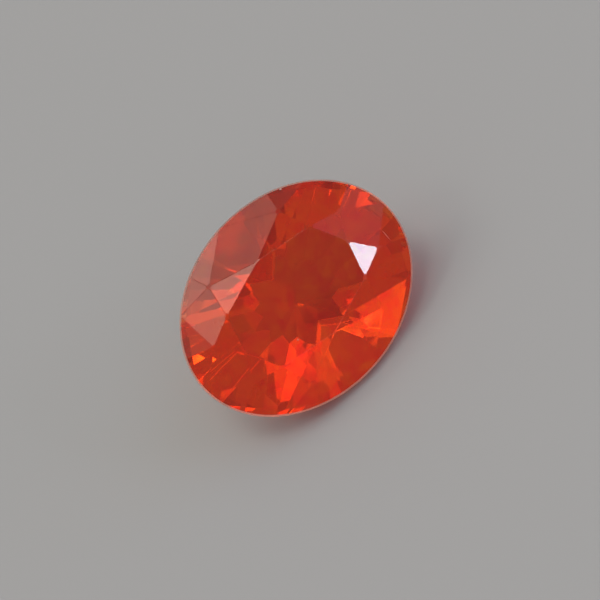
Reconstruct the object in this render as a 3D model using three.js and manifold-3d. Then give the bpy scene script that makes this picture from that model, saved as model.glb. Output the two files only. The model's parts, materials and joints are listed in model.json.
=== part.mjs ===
import * as THREE from 'three';
import { mergeVertices } from 'three/addons/utils/BufferGeometryUtils.js';
import Module from 'manifold-3d';

// A loose faceted fire opal: one solid stone, oval in plan, with a brilliant crown of mains,
// stars and girdle facets above a stepped pavilion. Sizes are millimetres, angles are degrees.
// The stone is cut as a gem cutter cuts it: an oval blank loses one flat slice for each facet.
// It is cut table up with its length along X, and is then laid on one facet of its pavilion.

// Outline and heights
const LENGTH = 10;
const WIDTH = 8;
const GIRDLE_THICKNESS = 0.2;
const CROWN_HEIGHT = 1;
const GIRDLE_SIDES = 96;

// Crown, as places in plan from the stone's centre
const TABLE_LENGTH = 5.83;
const TABLE_WIDTH = 4.04;
const TABLE_CORNER_BEARING = 31.7;
const END_STAR_TIP = { x: 3.553, y: 1.032 };
const SIDE_STAR_TIP = { x: 1.987, y: 2.734 };

// Turns round the oval, from its end to its side, where facets meet each other at the girdle
const GIRDLE_MEETS = [0, 22.5, 45, 63.75, 90];

// Pavilion, from the girdle down: each tier of facets begins at a share of the outline's reach and
// runs in to where the next tier begins. Its slope is the one at the middle of the long side, and
// the facets nearer the ends fall by the same depth over more reach, so their slopes are gentler.
// The third tier is a touch steeper than the second, so it also takes the outer part of some facets.
// Bearings are those of one quarter of the stone, and are mirrored into the other three.
const PAVILION_TIERS = [
  { outer: 1, slope: 58.3, bearings: [31.4, 58.5] },
  { outer: 0.88, slope: 46.6, bearings: [0, 34.2, 54.6, 90] },
  { outer: 0.61, slope: 47.7, bearings: [26.3, 59.5, 90] },
  { outer: 0.38, slope: 40.8, bearings: [16, 45, 66, 78.5] },
];

// A sharp point would chip, so it is cut off flat this far above where it would end
const POINT_CUT_OFF = 0.06;

// The stone is cut by hand, so each pavilion facet is a little off its even bearing and slope
const HAND_TURN = 0.125;
const HAND_TILT = 0.08;
const HAND_PATTERN = 2.929;

// How the stone lies: on the second tier, on the facet below the middle of its long side
const REST_TIER = PAVILION_TIERS[1];
const REST_BEARING = 270;

const HALF_LENGTH = LENGTH / 2;
const HALF_WIDTH = WIDTH / 2;
const GIRDLE_TOP = GIRDLE_THICKNESS / 2;
const GIRDLE_BOTTOM = -GIRDLE_THICKNESS / 2;
const TABLE_TOP = GIRDLE_TOP + CROWN_HEIGHT;
const BLANK_DEPTH = LENGTH;
const WASTE_SIZE = 2 * LENGTH;
const NEVER_ZERO = 1e-9;

const wasm = await Module();
wasm.setup();

function radians(degrees) {
  return THREE.MathUtils.degToRad(degrees);
}

// A point on the oval outline, by its turn from the end
function outlinePoint(turn, height) {
  const x = HALF_LENGTH * Math.cos(radians(turn));
  const y = HALF_WIDTH * Math.sin(radians(turn));
  return new THREE.Vector3(x, y, height);
}

// How far the outline reaches toward a bearing
function outlineReach(bearing) {
  const along = HALF_LENGTH * Math.cos(radians(bearing));
  const across = HALF_WIDTH * Math.sin(radians(bearing));
  return Math.hypot(along, across);
}

// A facet through three points, facing away from the middle of the stone
function facetThrough(first, second, third) {
  const facet = new THREE.Plane().setFromCoplanarPoints(first, second, third);
  return facet.constant > 0 ? facet.negate() : facet;
}

// A facet of the pavilion, facing down and out toward its bearing
function pavilionFacet(bearing, slope, point) {
  const outward = new THREE.Vector3(0, 0, -1);
  outward.applyAxisAngle(new THREE.Vector3(0, 1, 0), -radians(slope));
  outward.applyAxisAngle(new THREE.Vector3(0, 0, 1), radians(bearing));
  return new THREE.Plane().setFromNormalAndCoplanarPoint(outward, point);
}

// The facet and its mirror images across the length and the width, each of them once
function mirrored(facet) {
  const flipsX = Math.abs(facet.normal.x) > NEVER_ZERO ? [1, -1] : [1];
  const flipsY = Math.abs(facet.normal.y) > NEVER_ZERO ? [1, -1] : [1];
  const images = [];
  for (const x of flipsX) {
    for (const y of flipsY) {
      const normal = facet.normal.clone().multiply(new THREE.Vector3(x, y, 1));
      images.push(new THREE.Plane(normal, facet.constant));
    }
  }
  return images;
}

// Crown facets: the mains fix the heights of the star tips, and the rest pass through those tips
function crownFacets() {
  const tableEnd = new THREE.Vector3(TABLE_LENGTH / 2, 0, TABLE_TOP);
  const tableSide = new THREE.Vector3(0, TABLE_WIDTH / 2, TABLE_TOP);
  const girdle = GIRDLE_MEETS.map((turn) => outlinePoint(turn, GIRDLE_TOP));
  const [girdleEnd, , girdleDiagonal, , girdleSide] = girdle;

  const acrossEnd = tableEnd.clone().setY(1);
  const acrossSide = tableSide.clone().setX(1);
  const endMain = facetThrough(tableEnd, acrossEnd, girdleEnd);
  const sideMain = facetThrough(tableSide, acrossSide, girdleSide);
  const endTip = pointOnFacet(endMain, END_STAR_TIP);
  const sideTip = pointOnFacet(sideMain, SIDE_STAR_TIP);
  const diagonalMain = facetThrough(endTip, sideTip, girdleDiagonal);
  const tableCorner = cornerOnFacet(diagonalMain, TABLE_CORNER_BEARING, TABLE_TOP);

  return [
    endMain,
    sideMain,
    diagonalMain,
    facetThrough(tableEnd, tableCorner, endTip),
    facetThrough(tableCorner, tableSide, sideTip),
    facetThrough(endTip, girdle[0], girdle[1]),
    facetThrough(endTip, girdle[1], girdle[2]),
    facetThrough(sideTip, girdle[2], girdle[3]),
    facetThrough(sideTip, girdle[3], girdle[4]),
  ].flatMap(mirrored);
}

// The point of a facet above a place in plan
function pointOnFacet(facet, place) {
  const flat = facet.normal.x * place.x + facet.normal.y * place.y;
  return new THREE.Vector3(place.x, place.y, -(facet.constant + flat) / facet.normal.z);
}

// The point of a facet at a bearing from the centre and at a height
function cornerOnFacet(facet, bearing, height) {
  const toward = new THREE.Vector3(Math.cos(radians(bearing)), Math.sin(radians(bearing)), 0);
  const reach = -(facet.constant + facet.normal.z * height) / facet.normal.dot(toward);
  return toward.multiplyScalar(reach).setZ(height);
}

// Every facet of a tier falls by the same depth, so the slope depends on the reach at its bearing
function tierSlope(tier, bearing) {
  const fallPerReach = HALF_WIDTH * Math.tan(radians(tier.slope));
  return THREE.MathUtils.radToDeg(Math.atan2(fallPerReach, outlineReach(bearing)));
}

// All the bearings of one tier, the mirror images included, in order round the stone
function bearingsAround(quarter) {
  const around = quarter.flatMap((bearing) => [bearing, 180 - bearing, 180 + bearing, 360 - bearing]);
  return [...new Set(around.map((bearing) => bearing % 360))].sort((first, second) => first - second);
}

// A number between -1 and 1 that differs from one facet to the next
function unevenness(count) {
  return Math.sin(HAND_PATTERN * count * count);
}

// The tiers one below the other, down to the cut-off point. Each facet of a tier knows its bearing.
function pavilionFacets() {
  const facets = [];
  let top = GIRDLE_BOTTOM;
  PAVILION_TIERS.forEach((tier, index) => {
    for (const bearing of bearingsAround(tier.bearings)) {
      const hand = unevenness(facets.length);
      const turned = bearing + HAND_TURN * hand;
      const slope = tierSlope(tier, bearing) + HAND_TILT * hand;
      const reach = outlineReach(bearing) * tier.outer;
      const start = new THREE.Vector3(Math.cos(radians(turned)), Math.sin(radians(turned)), 0);
      const plane = pavilionFacet(turned, slope, start.multiplyScalar(reach).setZ(top));
      facets.push({ tier, bearing, plane });
    }
    const inner = PAVILION_TIERS[index + 1]?.outer ?? 0;
    top -= (tier.outer - inner) * HALF_WIDTH * Math.tan(radians(tier.slope));
  });
  const down = new THREE.Vector3(0, 0, -1);
  const foot = new THREE.Vector3(0, 0, top + POINT_CUT_OFF);
  facets.push({ plane: new THREE.Plane().setFromNormalAndCoplanarPoint(down, foot) });
  return facets;
}

// A closed mesh as a solid that can be cut
function toSolid(geometry) {
  geometry.deleteAttribute('normal');
  geometry.deleteAttribute('uv');
  const merged = mergeVertices(geometry);
  return new wasm.Manifold(
    new wasm.Mesh({
      numProp: 3,
      vertProperties: merged.attributes.position.array,
      triVerts: merged.index.array,
    }),
  );
}

function toGeometry(solid) {
  const mesh = solid.getMesh();
  const geometry = new THREE.BufferGeometry();
  geometry.setAttribute('position', new THREE.BufferAttribute(mesh.vertProperties, mesh.numProp));
  geometry.setIndex(new THREE.BufferAttribute(mesh.triVerts, 1));
  return geometry;
}

// The blank: an oval drum whose top is the table and whose wall is the girdle
function blank() {
  const drum = new THREE.CylinderGeometry(1, 1, BLANK_DEPTH, GIRDLE_SIDES);
  drum.rotateX(Math.PI / 2);
  drum.scale(HALF_LENGTH, HALF_WIDTH, 1);
  drum.translate(0, 0, TABLE_TOP - BLANK_DEPTH / 2);
  return toSolid(drum);
}

// The slice that one facet takes off
function waste(facet) {
  const block = new THREE.BoxGeometry(WASTE_SIZE, WASTE_SIZE, WASTE_SIZE);
  block.translate(0, 0, WASTE_SIZE / 2);
  const turn = new THREE.Quaternion().setFromUnitVectors(new THREE.Vector3(0, 0, 1), facet.normal);
  block.applyQuaternion(turn);
  const foot = facet.coplanarPoint(new THREE.Vector3());
  block.translate(foot.x, foot.y, foot.z);
  return toSolid(block);
}

function cutStone(pavilion) {
  const facets = [...crownFacets(), ...pavilion.map((facet) => facet.plane)];
  const solid = facets.reduce((stone, facet) => stone.subtract(waste(facet)), blank());
  return toGeometry(solid);
}

// Turned so that the rest facet faces straight down, and set with the middle of its base at zero
function laidDown(geometry, pavilion) {
  const isRest = (facet) => facet.tier === REST_TIER && facet.bearing === REST_BEARING;
  const rest = pavilion.find(isRest).plane.normal;
  const down = new THREE.Vector3(0, 0, -1);
  geometry.applyQuaternion(new THREE.Quaternion().setFromUnitVectors(rest, down));
  geometry.computeBoundingBox();
  const middle = geometry.boundingBox.getCenter(new THREE.Vector3());
  geometry.translate(-middle.x, -middle.y, -geometry.boundingBox.min.z);
  return geometry;
}

const opal = new THREE.MeshStandardMaterial({ color: 0xd4431f, roughness: 0.12, metalness: 0 });
opal.name = 'fire_opal';

const pavilion = pavilionFacets();
const stone = new THREE.Mesh(laidDown(cutStone(pavilion), pavilion), opal);
stone.name = 'fire_opal';

const fireOpal = new THREE.Group();
fireOpal.name = 'fire_opal_part';
fireOpal.add(stone);

export default fireOpal;
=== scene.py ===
# %% [markdown]
# # A fire opal on a pale table
# A fire opal is see-through orange opal, cut with flat facets like a gem. This lesson takes the
# measured stone, gives it slightly worn edges and a ground girdle, fills it with a clear orange
# body, and lights it so that its facets answer each other. Everything is in metres.

# %% Load the measured stone
import json
import math

import bmesh
import bpy
from mathutils import Matrix, Vector
from mathutils.bvhtree import BVHTree


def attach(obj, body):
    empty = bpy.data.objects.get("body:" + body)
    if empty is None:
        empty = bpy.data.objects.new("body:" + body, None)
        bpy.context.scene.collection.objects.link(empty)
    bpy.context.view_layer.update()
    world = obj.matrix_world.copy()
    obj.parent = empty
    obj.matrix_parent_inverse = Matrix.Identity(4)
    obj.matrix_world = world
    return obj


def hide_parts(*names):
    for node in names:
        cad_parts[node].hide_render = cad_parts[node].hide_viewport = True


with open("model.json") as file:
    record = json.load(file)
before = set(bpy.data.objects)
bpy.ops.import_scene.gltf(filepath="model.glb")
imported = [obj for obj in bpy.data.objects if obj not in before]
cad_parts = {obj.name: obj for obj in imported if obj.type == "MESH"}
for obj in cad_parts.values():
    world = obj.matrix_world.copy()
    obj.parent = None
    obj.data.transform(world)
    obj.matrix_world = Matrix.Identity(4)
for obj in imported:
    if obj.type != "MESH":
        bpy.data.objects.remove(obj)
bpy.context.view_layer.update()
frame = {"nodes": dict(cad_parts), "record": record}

MM = 0.001
NODE = "fire_opal"
stone_node = frame["nodes"][NODE]

# %% [markdown]
# ## The directions of the stone
# The stone lies on one facet of its underside, so its table, the big flat facet on top, leans
# toward the viewer. The lean could be typed in, but it is safer to read it off the mounts of the
# record: the table's own direction gives the lean, the viewing direction and the plane in which
# the oval outline lies. The stone's long axis lies level, along X.

# %% Read the table's direction
CROWN_AND_HALF_GIRDLE = 1.1 * MM

mounts = {mount["name"]: mount for mount in frame["record"]["mounts"]}
table_normal = Vector(mounts["table"]["axis"]).normalized()
table_centre = Vector(mounts["table"]["pos_m"])
side_axis = table_normal.cross(Vector((1, 0, 0))).normalized()
long_axis = side_axis.cross(table_normal)
girdle_centre = table_centre - table_normal * CROWN_AND_HALF_GIRDLE
lean = math.degrees(math.acos(table_normal.z))
print(f"table leans {lean:.2f} degrees, girdle centre in mm:", [round(c / MM, 3) for c in girdle_centre])

# %% [markdown]
# ## The camera
# The stone is seen almost square to its table, with its long axis climbing to the upper right.
# The facets only answer each other as they should if the rays run nearly side by side, as they do
# under a long lens from far away, so the camera stands a metre off. It is set by its own three
# axes instead of by angles, so that the picture turns about the table's own direction.

# %% Find the directions of the view
LONG_AXIS_IN_VIEW = math.radians(47.4)
VIEW_TILT = math.radians(2.85)
VIEW_TILT_TOWARD = math.radians(-86.4)

cos_turn, sin_turn = math.cos(LONG_AXIS_IN_VIEW), math.sin(LONG_AXIS_IN_VIEW)
plan_right = long_axis * cos_turn - side_axis * sin_turn
plan_up = long_axis * sin_turn + side_axis * cos_turn
tilted = plan_right * math.cos(VIEW_TILT_TOWARD) + plan_up * math.sin(VIEW_TILT_TOWARD)
camera_back = table_normal * math.cos(VIEW_TILT) + tilted * math.sin(VIEW_TILT)
camera_right = (plan_right - camera_back * plan_right.dot(camera_back)).normalized()
camera_up = camera_back.cross(camera_right)
print(f"the camera looks down {math.degrees(math.asin(camera_back.z)):.1f} degrees")

# %% Make the camera
CAMERA_DISTANCE = 1000 * MM
NEAREST_SEEN = 10 * MM
FARTHEST_SEEN = 5000 * MM
SENSOR_WIDTH = 36.0
VIEW_PIXELS = 600
PIXELS_PER_MM = 26
STONE_IN_VIEW = Vector((296.1, 298.1))
pixel = MM / PIXELS_PER_MM
view_middle = Vector((VIEW_PIXELS, VIEW_PIXELS)) / 2


def in_view(x, y):
    """The place on the girdle's plane of sight that the picture shows at a pixel."""
    across, down = (x - STONE_IN_VIEW.x) * pixel, (y - STONE_IN_VIEW.y) * pixel
    return girdle_centre + camera_right * across - camera_up * down


camera_data = bpy.data.cameras.new("camera")
camera_data.sensor_width = SENSOR_WIDTH
camera_data.lens = SENSOR_WIDTH * CAMERA_DISTANCE / (VIEW_PIXELS * pixel)
camera_data.clip_start = NEAREST_SEEN
camera_data.clip_end = FARTHEST_SEEN
camera = bpy.data.objects.new("camera", camera_data)
bpy.context.collection.objects.link(camera)
axes = Matrix((camera_right, camera_up, camera_back)).transposed().to_4x4()
camera.matrix_world = Matrix.Translation(in_view(*view_middle) + camera_back * CAMERA_DISTANCE) @ axes
bpy.context.scene.camera = camera
print(f"lens {camera_data.lens:.0f} mm")

# %% [markdown]
# ## Helpers for node trees
# Every material here is a small tree of nodes. One helper adds a node with all its settings and
# inputs at once, so that each step of a material reads as one line. Another does the same for a
# math node, and a third begins a node group, a tree of its own that materials can share.

# %% Make the node helpers


def add_node(tree, kind, inputs, **settings):
    """Adds a node: its settings first, then each input by name, linked or set to a value."""
    made = tree.nodes.new(kind)
    for name, value in settings.items():
        setattr(made, name, value)
    for name, value in inputs.items():
        if isinstance(value, bpy.types.NodeSocket):
            tree.links.new(value, made.inputs[name])
        else:
            made.inputs[name].default_value = value
    return made


def add_math(tree, operation, *values):
    """The result of a math node on sockets or numbers."""
    made = add_node(tree, "ShaderNodeMath", dict(enumerate(values)), operation=operation)
    return made.outputs["Value"]


def start_group(name, inputs, outputs):
    """A node group with named sockets, its inputs' node and its outputs' node."""
    group = bpy.data.node_groups.new(name, "ShaderNodeTree")
    for socket, kind in inputs.items():
        group.interface.new_socket(socket, in_out="INPUT", socket_type=kind)
    for socket, kind in outputs.items():
        group.interface.new_socket(socket, in_out="OUTPUT", socket_type=kind)
    return group, group.nodes.new("NodeGroupInput"), group.nodes.new("NodeGroupOutput")


print("node helpers:", add_node.__name__, add_math.__name__, start_group.__name__)

# %% [markdown]
# ## The stone's edges and girdle
# Opal is softer than most gems, so its facet edges are never knife sharp: each one is rubbed to a
# round finer than a hair that catches light, and the corners of the crown, which stick out most,
# are rubbed more. The girdle, the thin belt round the stone, is only ground and never polished. A
# bevel would be the usual way to wear edges, but its width is held back everywhere by the shortest
# edge of the mesh. A convex stone allows the cutter's own way instead: a plane is set just inside
# each edge, and what lies outside it is cut off and capped. The new faces are marked as worn or
# ground with attributes, so that the solid of clear material keeps one single material.

# %% Find the planes that wear the stone
EDGE_WEAR = 0.011 * MM
EDGE_FACES = 2
CORNER_WEAR = 0.15 * MM
RIM_CHAMFER = 0.075 * MM
SHARP = math.radians(1)
GIRDLE_LEAN = math.radians(2)


def is_girdle(face):
    return abs(face.normal.dot(table_normal)) < math.sin(GIRDLE_LEAN)


def is_crown(face):
    return face.normal.dot(table_normal) > math.sin(GIRDLE_LEAN)


def edge_planes(edge, reach, count):
    """Planes round an edge, each a point and a normal, that begin this far from it on both sides."""
    first, second = (face.normal for face in edge.link_faces)
    between = first.angle(second)
    turn = between / (count + 1)
    radius = reach / (math.tan(between / 2) - math.tan(turn / 2))
    middle = (first + second).normalized()
    centre = edge.verts[0].co - middle * radius / math.cos(between / 2)
    normals = [first.slerp(second, (step + 1) / (count + 1)) for step in range(count)]
    return [(centre + normal * radius, normal) for normal in normals]


def corner_plane(corner, reach):
    """A plane across a corner that begins this far from it on its flattest edge."""
    normal = sum((face.normal for face in corner.link_faces), Vector()).normalized()
    ways = [(edge.other_vert(corner).co - corner.co).normalized() for edge in corner.link_edges]
    depth = reach * min(-way.dot(normal) for way in ways)
    return corner.co - normal * depth, normal


def wear_planes(shape):
    """All the planes, each with the name of the attribute that its new face is marked with."""
    planes = []
    for edge in shape.edges:
        belt_faces = len([face for face in edge.link_faces if is_girdle(face)])
        if belt_faces == 1:
            planes += [(*plane, "ground_girdle") for plane in edge_planes(edge, RIM_CHAMFER, 1)]
        elif belt_faces == 0 and edge.calc_face_angle() > SHARP:
            planes += [(*plane, "worn_edge") for plane in edge_planes(edge, EDGE_WEAR, EDGE_FACES)]
    for corner in shape.verts:
        if all(is_crown(face) for face in corner.link_faces):
            planes.append((*corner_plane(corner, CORNER_WEAR), "worn_edge"))
    print("planes that wear the stone:", len(planes))
    return planes


# %% Copy the stone and wear it
MERGE_WITHIN = 0.004 * MM
SAME_FACET = math.radians(0.3)
CUT_WITHIN = 0.00001 * MM
MERGE_AFTER_WEAR = 0.0005 * MM


def cut_off(shape, point, normal):
    """Cuts off what lies beyond a plane and returns the new face, or none if nothing lay there."""
    everything = [*shape.verts, *shape.edges, *shape.faces]
    made = bmesh.ops.bisect_plane(
        shape, geom=everything, dist=CUT_WITHIN, plane_co=point, plane_no=normal, clear_outer=True,
    )
    edges = [item for item in made["geom_cut"] if isinstance(item, bmesh.types.BMEdge)]
    rim = [edge for edge in edges if edge.is_boundary]
    return bmesh.ops.contextual_create(shape, geom=rim)["faces"] if len(rim) > 2 else []


def make_stone():
    """A worn copy of the measured stone, with flat facets and a smooth girdle."""
    shape = bmesh.new()
    shape.from_mesh(stone_node.data)
    bmesh.ops.remove_doubles(shape, verts=shape.verts, dist=MERGE_WITHIN)
    bmesh.ops.dissolve_limit(shape, angle_limit=SAME_FACET, verts=shape.verts, edges=shape.edges)
    print("facets:", len(shape.faces))
    marked = {name: shape.faces.layers.float.new(name) for name in ("worn_edge", "ground_girdle")}
    for face in shape.faces:
        face[marked["ground_girdle"]] = 1.0 if is_girdle(face) else 0.0
    for point, normal, name in wear_planes(shape):
        for face in cut_off(shape, point, normal):
            for mark, layer in marked.items():
                face[layer] = 1.0 if mark == name else 0.0
    bmesh.ops.remove_doubles(shape, verts=shape.verts, dist=MERGE_AFTER_WEAR)
    bmesh.ops.holes_fill(shape, edges=[edge for edge in shape.edges if edge.is_boundary])
    bmesh.ops.recalc_face_normals(shape, faces=shape.faces)
    for face in shape.faces:
        face.smooth = is_girdle(face)
    mesh = bpy.data.meshes.new("stone")
    shape.to_mesh(mesh)
    shape.free()
    print("faces with worn edges:", len(mesh.polygons))
    return mesh


stone = bpy.data.objects.new("stone", make_stone())
bpy.context.collection.objects.link(stone)

# %% [markdown]
# ## The hand polish
# A hand polish is never quite flat: under the light a facet is a very shallow, wavy mirror, with
# some faint cloudy patches where it has been touched. A slow noise gives the waves' height, and a
# finer, swirled one gives the clouds where it is strong. Together they are one node group.

# %% Make the hand polish
WAVES_PER_MM = 0.5
WAVE_DETAIL = 1.0
CLOUDS_PER_MM = 0.9
CLOUD_DETAIL = 5.0
CLOUD_SWIRL = 0.6
CLOUDS_BEGIN = 0.5
CLOUDS_FULL = 0.75


def make_hand_polish():
    """From a place in millimetres to the height of the polish's waves and a mask of dull clouds."""
    sockets = {"Height": "NodeSocketFloat", "Clouds": "NodeSocketFloat"}
    group, given, result = start_group("hand_polish", {"Place": "NodeSocketVector"}, sockets)
    place = given.outputs["Place"]
    wavy = {"Vector": place, "Scale": WAVES_PER_MM, "Detail": WAVE_DETAIL}
    waves = add_node(group, "ShaderNodeTexNoise", wavy)
    cloudy = {"Vector": place, "Scale": CLOUDS_PER_MM, "Detail": CLOUD_DETAIL, "Distortion": CLOUD_SWIRL}
    clouds = add_node(group, "ShaderNodeTexNoise", cloudy)
    strong = {"Value": clouds.outputs["Fac"], "From Min": CLOUDS_BEGIN, "From Max": CLOUDS_FULL}
    patches = add_node(group, "ShaderNodeMapRange", strong)
    group.links.new(waves.outputs["Fac"], result.inputs["Height"])
    group.links.new(patches.outputs["Result"], result.inputs["Clouds"])
    return group


hand_polish = make_hand_polish()
print("node group:", hand_polish.name)

# %% [markdown]
# ## The opal's patches, partly painted light
# Opal sets in small domains, and each holds a little more or less iron, so one is redder and the
# next more orange. Voronoi cells look like such domains once their edges waver, so the place that
# they are read at is first pushed about by a noise. The cells are shifted so that a red cell lies
# where the facets send back deep red and orange cells lie where they send back bright orange: that
# part is painted light. A second, slow noise lets the whole stone drift a little from redder to more
# orange.

# %% Make the opal's patches and their painted light
ZONES_PER_MM = 0.22
ZONE_DETAIL = 2.0
# shifts the cells so red and orange ones lie where the facets send back deep red and bright orange:
# painted light
PATCHES_PLACED_FOR_PAINTED_LIGHT = (-14.4, 5.0, -5.8)
EDGE_WAVERS_PER_MM = 1.8
EDGE_WAVER_DETAIL = 2.0
EDGE_WAVER = 0.3
PATCHES_PER_MM = 1.6
PATCH_DETAIL = 1.0
PATCH_ROUGHNESS = 0.5
PATCH_EDGE_BLUR = 0.1
PATCH_SHARE = 0.85


def make_opal_patches_and_painted_light():
    """From a place in millimetres to how orange the opal is there, from 0 to 1, partly painted light."""
    sockets = {"Orange": "NodeSocketFloat"}
    group, given, result = start_group("opal_patches_and_painted_light", {"Place": "NodeSocketVector"}, sockets)
    place = given.outputs["Place"]
    drift = {"Vector": place, "Scale": ZONES_PER_MM, "Detail": ZONE_DETAIL}
    zones = add_node(group, "ShaderNodeTexNoise", drift)

    shifted = add_node(group, "ShaderNodeVectorMath", {0: place, 1: PATCHES_PLACED_FOR_PAINTED_LIGHT}, operation="ADD")
    begun = shifted.outputs["Vector"]
    wavers = {"Vector": begun, "Scale": EDGE_WAVERS_PER_MM, "Detail": EDGE_WAVER_DETAIL}
    waver = add_node(group, "ShaderNodeTexNoise", wavers)
    pushed = {0: waver.outputs["Color"], 1: (EDGE_WAVER,) * 3, 2: begun}
    moved = add_node(group, "ShaderNodeVectorMath", pushed, operation="MULTIPLY_ADD")
    cell_inputs = {
        "Vector": moved.outputs["Vector"],
        "Scale": PATCHES_PER_MM,
        "Detail": PATCH_DETAIL,
        "Roughness": PATCH_ROUGHNESS,
        "Smoothness": PATCH_EDGE_BLUR,
    }
    cells = add_node(group, "ShaderNodeTexVoronoi", cell_inputs, feature="SMOOTH_F1", normalize=True)
    patch = add_node(group, "ShaderNodeSeparateColor", {"Color": cells.outputs["Color"]})
    both = {"Factor": PATCH_SHARE, "A": zones.outputs["Fac"], "B": patch.outputs["Red"]}
    mixed = add_node(group, "ShaderNodeMix", both)
    group.links.new(mixed.outputs["Result"], result.inputs["Orange"])
    return group


opal_patches_and_painted_light = make_opal_patches_and_painted_light()
print("node group:", opal_patches_and_painted_light.name)

# %% [markdown]
# ## Small marks
# A third group marks a small round or stretched spot anywhere on the stone. A picture of each mark
# would need its own unwrapping, and this needs none: the group moves, turns and squeezes the
# coordinates so that the spot becomes a ball of radius one, and fades out toward its rim.

# %% Make the small mark
MARK_FULL_WITHIN = 0.7


def make_small_mark():
    """From a place in millimetres and where a spot lies, how it is turned and its half sizes."""
    sockets = {name: "NodeSocketVector" for name in ("Place", "Location", "Rotation", "Half Size")}
    group, given, result = start_group("small_mark", sockets, {"Mask": "NodeSocketFloat"})
    inputs = {
        "Vector": given.outputs["Place"],
        "Location": given.outputs["Location"],
        "Rotation": given.outputs["Rotation"],
        "Scale": given.outputs["Half Size"],
    }
    squeezed = add_node(group, "ShaderNodeMapping", inputs, vector_type="TEXTURE")
    distance = add_node(group, "ShaderNodeVectorMath", {0: squeezed.outputs["Vector"]}, operation="LENGTH")
    fading = {"Value": distance.outputs["Value"], "From Min": 1.0, "From Max": MARK_FULL_WITHIN}
    mask = add_node(group, "ShaderNodeMapRange", fading)
    group.links.new(mask.outputs["Result"], result.inputs["Mask"])
    return group


small_mark = make_small_mark()
print("node group:", small_mark.name)

# %% [markdown]
# ## Where the marks lie
# The stone has one fine scratch near its upper right end, a dull speck on the table and a white
# fleck on the girdle. They are placed by looking: a ray from the camera through a pixel finds the
# place on the stone, and two such places give a scratch its length and direction. Each mark also
# has its whiteness, from 0 for one that is only dull to 1 for one as white as a ground surface.
# Places are pixels of the view, and sizes are millimetres.

# %% Find the marks on the stone
SCRATCH_START = (378, 226)
SCRATCH_END = (391, 241)
SCRATCH_WIDTH = 0.03
SCRATCH_WHITENESS = 0.5
SPECK = (298, 339.5)
SPECK_RADIUS = 0.05
SPECK_WHITENESS = 0.12
FLECK = (280.5, 189)
FLECK_RADIUS = 0.06
FLECK_WHITENESS = 1.0

surface = BVHTree.FromPolygons(
    [vertex.co for vertex in stone.data.vertices],
    [tuple(polygon.vertices) for polygon in stone.data.polygons],
)


def on_stone(x, y):
    """The place on the stone, in millimetres, that the picture shows at a pixel."""
    start = in_view(x, y) + camera_back * CAMERA_DISTANCE
    return surface.ray_cast(start, -camera_back)[0] / MM


def spot(middle, radius):
    return {"Location": on_stone(*middle), "Rotation": Vector(), "Half Size": Vector((radius,) * 3)}


def scratch(start, end, width):
    first, last = on_stone(*start), on_stone(*end)
    turned = (last - first).to_track_quat("X", "Z").to_euler()
    half_size = Vector(((last - first).length, width, width)) / 2
    return {"Location": (first + last) / 2, "Rotation": Vector(turned), "Half Size": half_size}


marks = [
    (scratch(SCRATCH_START, SCRATCH_END, SCRATCH_WIDTH), SCRATCH_WHITENESS),
    (spot(SPECK, SPECK_RADIUS), SPECK_WHITENESS),
    (spot(FLECK, FLECK_RADIUS), FLECK_WHITENESS),
]
print("marks at, in mm:", [[round(c, 2) for c in mark["Location"]] for mark, whiteness in marks])

# %% [markdown]
# ## The opal's skin
# What changes over the surface is worked out first: where it is dull, where it is white, how rough
# it is and how it tints the light. The ground girdle and the marks are dull and pale, because a
# rough surface scatters light before it reaches the colour inside.

# %% Work out the opal's skin
REDDER = (0.92, 0.025, 0.022, 1.0)
ORANGER = (1.0, 0.15, 0.006, 1.0)
GROUND_PALE = (0.95, 0.62, 0.52, 1.0)
POLISH = 0.02
CLOUD_DULLNESS = 0.03
WORN_DULLNESS = 0.15
GROUND_DULLNESS = 0.5


def place_in_mm(tree):
    """Where a point of the stone lies, in millimetres."""
    coordinates = add_node(tree, "ShaderNodeTexCoord", {}).outputs["Object"]
    scaled = add_node(tree, "ShaderNodeMapping", {"Vector": coordinates, "Scale": (1 / MM,) * 3})
    return scaled.outputs["Vector"]


def dull_and_white(tree, place):
    """Two masks: where the stone is dull, and where it is as white as a ground surface."""
    ground = add_node(tree, "ShaderNodeAttribute", {}, attribute_name="ground_girdle").outputs["Fac"]
    dull = ground
    white = ground
    for mark, whiteness in marks:
        marked = add_node(tree, "ShaderNodeGroup", {"Place": place, **mark}, node_tree=small_mark)
        mask = marked.outputs["Mask"]
        dull = add_math(tree, "MAXIMUM", dull, mask)
        white = add_math(tree, "MAXIMUM", white, add_math(tree, "MULTIPLY", mask, whiteness))
    return dull, white


def skin_tint(tree, place, dull):
    """The colour of the light that crosses the surface."""
    # the orange and red patches are partly painted light, placed where the facets send light back
    patches = add_node(tree, "ShaderNodeGroup", {"Place": place}, node_tree=opal_patches_and_painted_light)
    between = {"Factor": patches.outputs["Orange"], "A": REDDER, "B": ORANGER}
    body = add_node(tree, "ShaderNodeMix", between, data_type="RGBA").outputs["Result"]
    pale = {"Factor": dull, "A": body, "B": GROUND_PALE}
    return add_node(tree, "ShaderNodeMix", pale, data_type="RGBA").outputs["Result"]


def skin_roughness(tree, clouds, dull):
    """The polish, a little duller in its clouds, duller on worn edges and dullest where ground."""
    worn = add_node(tree, "ShaderNodeAttribute", {}, attribute_name="worn_edge").outputs["Fac"]
    rough = add_math(tree, "MULTIPLY_ADD", clouds, CLOUD_DULLNESS, POLISH)
    rough = add_math(tree, "MULTIPLY_ADD", worn, WORN_DULLNESS, rough)
    return add_math(tree, "MULTIPLY_ADD", dull, GROUND_DULLNESS, rough)


print("roughness from", POLISH, "where polished to", POLISH + GROUND_DULLNESS, "where ground")

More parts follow.
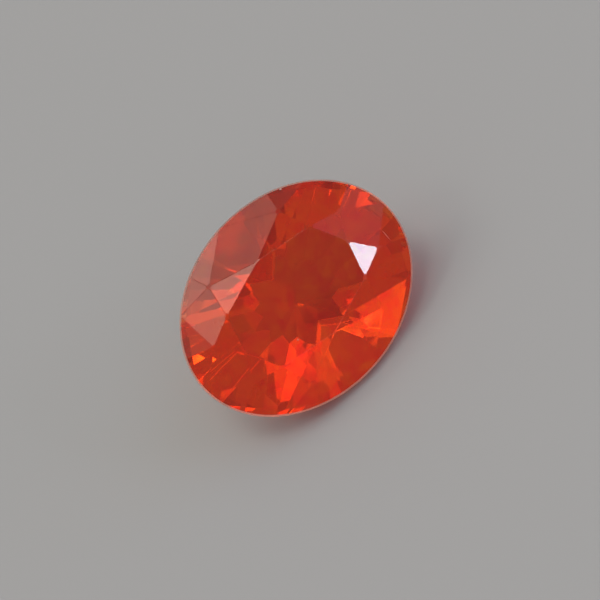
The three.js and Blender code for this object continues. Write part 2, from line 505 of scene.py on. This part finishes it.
# %% [markdown]
# ## The opal's body
# Light goes through the stone, so the colour is in the depth and not on the skin. The shader is
# clear with opal's refractive index, 1.43, a warm tint where light crosses the surface, and an
# absorbing volume that turns long paths from orange to deep red. A few parts in a hundred of the
# light scatter, which is the faint haze of real opal. How clear the shader is has to be one value
# all over, so on the ground girdle and the marks a rough and strongly reflecting coat does the
# scattering instead, and the white mask lays it there alone.

# %% Make the opal material
OPAL_INDEX = 1.43
CLEARNESS = 0.96
BODY_COLOUR = (0.975, 0.55, 0.20, 1.0)
BODY_DENSITY = 130.0
GROUND_COAT_INDEX = 4.0
GROUND_COAT_ROUGHNESS = 0.5
WAVE_DEPTH = 0.006 * MM


def make_opal():
    material = bpy.data.materials.new("fire_opal")
    material.use_nodes = True
    tree = material.node_tree
    place = place_in_mm(tree)
    dull, white = dull_and_white(tree, place)
    polish = add_node(tree, "ShaderNodeGroup", {"Place": place}, node_tree=hand_polish)
    waves = {"Height": polish.outputs["Height"], "Strength": 1.0, "Distance": WAVE_DEPTH}
    bump = add_node(tree, "ShaderNodeBump", waves)

    shader = tree.nodes["Principled BSDF"]
    tree.links.new(skin_tint(tree, place, dull), shader.inputs["Base Color"])
    tree.links.new(skin_roughness(tree, polish.outputs["Clouds"], dull), shader.inputs["Roughness"])
    tree.links.new(bump.outputs["Normal"], shader.inputs["Normal"])
    tree.links.new(white, shader.inputs["Coat Weight"])
    shader.inputs["Coat IOR"].default_value = GROUND_COAT_INDEX
    shader.inputs["Coat Roughness"].default_value = GROUND_COAT_ROUGHNESS
    shader.inputs["Metallic"].default_value = 0.0
    shader.inputs["IOR"].default_value = OPAL_INDEX
    shader.inputs["Transmission Weight"].default_value = CLEARNESS

    inside = {"Color": BODY_COLOUR, "Density": BODY_DENSITY}
    volume = add_node(tree, "ShaderNodeVolumeAbsorption", inside)
    tree.links.new(volume.outputs["Volume"], tree.nodes["Material Output"].inputs["Volume"])
    print("opal material with", len(tree.nodes), "nodes")
    return material


stone.data.materials.append(make_opal())
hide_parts(NODE)
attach(stone, "root")

# %% [markdown]
# ## The studio
# The stone lies on a plain, pale, matt floor in an even pale room. The lights are round and soft.
# Those on its left are warm: they lie as a haze on the crown's left facets and come back out of the
# stone as orange patches. Those on its right are weaker and rosy and feed the red patches, and a
# bluish one gives the upper right its pink. Each light is set by where it stands in the picture,
# round from the right and away from the camera. One small, cool lamp stands just where a single
# star facet mirrors it, which turns that facet white. The floor's grey is a little blue, because a
# neutral one would look yellow under the warm lights.

# %% Make the floor
FLOOR_HALF_SIZE = 0.6
FLOOR_DROP = 0.02 * MM
FLOOR_GREY = (0.395, 0.41, 0.455, 1.0)
FLOOR_ROUGHNESS = 0.9


def make_floor():
    shape = bmesh.new()
    bmesh.ops.create_grid(shape, x_segments=1, y_segments=1, size=FLOOR_HALF_SIZE)
    bmesh.ops.translate(shape, verts=shape.verts, vec=(0, 0, -FLOOR_DROP))
    mesh = bpy.data.meshes.new("floor")
    shape.to_mesh(mesh)
    shape.free()
    material = bpy.data.materials.new("floor")
    material.use_nodes = True
    shader = material.node_tree.nodes["Principled BSDF"]
    shader.inputs["Base Color"].default_value = FLOOR_GREY
    shader.inputs["Roughness"].default_value = FLOOR_ROUGHNESS
    mesh.materials.append(material)
    floor = bpy.data.objects.new("floor", mesh)
    bpy.context.collection.objects.link(floor)
    print("floor:", 2 * FLOOR_HALF_SIZE, "m wide")


make_floor()

# %% Make the lights
LIGHT_DISTANCE = 600 * MM
WARM = (1.0, 0.93, 0.75)
ROSY = (1.0, 0.68, 0.75)
BLUISH = (0.45, 0.60, 1.0)
COOL = (0.62, 0.85, 1.0)


def add_light(name, angle, off_axis, radius, brightness, colour):
    """A round light facing the stone, all angles in degrees; brightness is what a mirror shows."""
    turn, off = math.radians(angle), math.radians(off_axis)
    sideways = camera_right * math.cos(turn) + camera_up * math.sin(turn)
    toward = camera_back * math.cos(off) + sideways * math.sin(off)
    disc_radius = LIGHT_DISTANCE * math.tan(math.radians(radius))
    disc_area = math.pi * disc_radius ** 2
    data = bpy.data.lights.new(name, "AREA")
    data.shape = "DISK"
    data.size = 2 * disc_radius
    data.color = colour
    data.energy = brightness * math.pi * disc_area
    light = bpy.data.objects.new(name, data)
    bpy.context.collection.objects.link(light)
    light.location = girdle_centre + toward * LIGHT_DISTANCE
    light.rotation_mode = "QUATERNION"
    light.rotation_quaternion = toward.to_track_quat("Z", "Y")
    light.visible_camera = False
    print(f"{name} stands {math.degrees(math.asin(toward.z)):.0f} degrees above the floor")


add_light("key", 134, 33, 9.1, 4.6, WARM)
add_light("high", 142, 58, 12, 1.8, WARM)
add_light("upper_left", 142, 77.6, 4.1, 3.2, WARM)
add_light("far_left", 167, 78, 6.5, 2.9, WARM)
add_light("left", 179, 56, 6.8, 2.2, WARM)
add_light("wide_left", 165, 72.5, 21, 0.66, WARM)
add_light("upper", 125, 77, 3.5, 1.3, WARM)
add_light("top", 112, 76, 16, 0.3, WARM)
add_light("right", 45, 28.5, 19, 0.6, ROSY)
add_light("low_right", 23, 47.6, 11.6, 1.1, ROSY)
add_light("front", 335, 14, 13, 0.7, ROSY)
add_light("near_front", 130, 13, 5.3, 0.6, WARM)
add_light("window", 62, 52, 20, 0.6, BLUISH)
add_light("small_lamp", 34, 37.5, 1.4, 26.5, COOL)

# %% Light the room evenly
ROOM = (0.45, 0.44, 0.39, 1.0)

world = bpy.data.worlds.new("studio")
bpy.context.scene.world = world
world.use_nodes = True
world.node_tree.nodes["Background"].inputs["Color"].default_value = ROOM
print("room:", ROOM[:3])

# %% [markdown]
# ## Light inside the stone
# A ray can bounce from facet to facet more than a dozen times before it leaves, and each bounce
# inside counts as a mirror bounce, so the renderer is allowed more of them than usual. The Standard
# view shows the strong oranges as they are, where a film-like one would wash them out.

# %% Set the bounces and the view
MOST_BOUNCES = 24
MOST_MIRROR_BOUNCES = 20
MOST_CLEAR_BOUNCES = 20

scene = bpy.context.scene
scene.view_settings.view_transform = "Standard"
scene.cycles.max_bounces = MOST_BOUNCES
scene.cycles.glossy_bounces = MOST_MIRROR_BOUNCES
scene.cycles.transmission_bounces = MOST_CLEAR_BOUNCES
print("bounces allowed:", scene.cycles.max_bounces)
